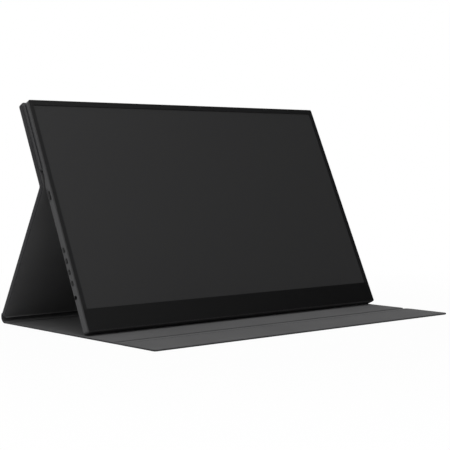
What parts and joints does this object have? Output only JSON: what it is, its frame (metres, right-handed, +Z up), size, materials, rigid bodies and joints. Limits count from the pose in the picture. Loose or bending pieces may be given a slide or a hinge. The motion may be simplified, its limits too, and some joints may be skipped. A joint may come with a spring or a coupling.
{
  "type": "portable monitor with folding cover",
  "caption": "Slim portable display standing at a lean in a folding leatherette cover whose back panels form the stand and whose front cover lies on the table.",
  "frame": {"origin": "centre of the footprint, on the table", "axes": "+X to the right of someone facing the screen, -Y towards them, +Z up"},
  "size_m": [0.3586, 0.2382, 0.2063],
  "materials": {
    "frame_metal": "fine bead-blasted dark grey paint",
    "rear_plastic": "fine-textured moulding",
    "bezel_plastic": "smooth matt",
    "chin_gloss": "polished black",
    "screen_glass": "anti-glare, matt",
    "optical_film": "white diffusing film",
    "clear_plastic": "clear acrylic",
    "led_resin": "phosphor coated",
    "thin_steel": "zinc-plated sheet",
    "screw_steel": "blackened",
    "circuit_board": "solder mask",
    "ribbon_film": "polyimide film",
    "lead_rubber": "insulated flat lead",
    "socket_metal": "tin-plated shell",
    "socket_plastic": "moulded",
    "key_plastic": "satin",
    "dock_plastic": "matt",
    "magnet_nickel": "nickel-plated",
    "leatherette": "fine pebble grain, satin",
    "lining_cloth": "smooth microfibre",
    "padding_foam": "closed-cell foam",
    "stiff_board": "dense grey board"
  },
  "bodies": {
    "front_cover": {"floor_skin": "leatherette", "floor_board": "stiff_board", "floor_lining": "lining_cloth", "spine_strip": "leatherette", "spine_skin": "leatherette", "spine_board": "stiff_board", "spine_lining": "lining_cloth", "base_bend_strip": "leatherette", "flap_fold_strip": "leatherette"},
    "lower_panel": {"lower_skin": "leatherette", "lower_padding": "padding_foam", "lower_board": "stiff_board", "lower_lining": "lining_cloth", "back_fold_strip": "leatherette"},
    "upper_panel": {"upper_skin": "leatherette", "upper_padding": "padding_foam", "upper_board": "stiff_board", "upper_lining": "lining_cloth", "dock_plate": "dock_plastic", "dock_magnets": "magnet_nickel"},
    "monitor": {"mid_frame": "frame_metal", "rear_cover": "rear_plastic", "bezel_frame": "bezel_plastic", "chin_strip": "chin_gloss", "lcd_cell": "screen_glass", "film_stack": "optical_film", "light_guide": "clear_plastic", "reflector_sheet": "optical_film", "led_bar": "led_resin", "display_tray": "thin_steel", "driver_board": "circuit_board", "display_ribbon": "ribbon_film", "main_board": "circuit_board", "shield_can": "thin_steel", "board_screws": "screw_steel", "usb_c_upper": "socket_metal", "usb_c_lower": "socket_metal", "mini_hdmi": "socket_metal", "audio_jack": "socket_plastic", "key_board": "circuit_board", "key_switches": "socket_metal", "key_ribbon": "ribbon_film", "speaker_left": "socket_plastic", "speaker_right": "socket_plastic", "speaker_leads": "lead_rubber", "keeper_plates": "thin_steel"},
    "flap": {"flap_skin": "leatherette", "flap_board": "stiff_board", "flap_lining": "lining_cloth", "flap_magnets": "magnet_nickel"},
    "power_key": {"power_key": "key_plastic"},
    "menu_key_1": {"menu_key_1": "key_plastic"},
    "menu_key_2": {"menu_key_2": "key_plastic"},
    "menu_key_3": {"menu_key_3": "key_plastic"},
    "menu_key_4": {"menu_key_4": "key_plastic"}
  },
  "joints": [
    {"name": "stand_fold", "type": "hinge", "parent": "front_cover", "child": "lower_panel", "pos_m": [0, 0.11937, 0.0024], "axis": [-1, 0, 0], "range_deg": [0, 119.8], "deforming": ["base_bend_strip"]},
    {"name": "back_fold", "type": "hinge", "parent": "lower_panel", "child": "upper_panel", "pos_m": [0, 0.04998, 0.12838], "axis": [1, 0, 0], "range_deg": [0, 54.85], "deforming": ["back_fold_strip"]},
    {"name": "flap_fold", "type": "hinge", "parent": "front_cover", "child": "flap", "pos_m": [0, -0.06809, 0.0024], "axis": [-1, 0, 0], "range_deg": [0, 120], "deforming": ["flap_fold_strip"]},
    {"name": "monitor_lift", "type": "slide", "parent": "upper_panel", "child": "monitor", "axis": [0, -0.9063, 0.4226], "range_m": [0, 0.025]},
    {"name": "power_key_press", "type": "slide", "parent": "monitor", "child": "power_key", "axis": [1, 0, 0], "range_m": [0, 0.0003], "stiffness_N_per_m": 2500, "springref_m": -0.0002},
    {"name": "menu_key_1_press", "type": "slide", "parent": "monitor", "child": "menu_key_1", "axis": [1, 0, 0], "range_m": [0, 0.0003], "stiffness_N_per_m": 2500, "springref_m": -0.0002},
    {"name": "menu_key_2_press", "type": "slide", "parent": "monitor", "child": "menu_key_2", "axis": [1, 0, 0], "range_m": [0, 0.0003], "stiffness_N_per_m": 2500, "springref_m": -0.0002},
    {"name": "menu_key_3_press", "type": "slide", "parent": "monitor", "child": "menu_key_3", "axis": [1, 0, 0], "range_m": [0, 0.0003], "stiffness_N_per_m": 2500, "springref_m": -0.0002},
    {"name": "menu_key_4_press", "type": "slide", "parent": "monitor", "child": "menu_key_4", "axis": [1, 0, 0], "range_m": [0, 0.0003], "stiffness_N_per_m": 2500, "springref_m": -0.0002}
  ],
  "couplings": [
    {"joint": "back_fold", "follows": "stand_fold", "ratio": 0.45743}
  ]
}
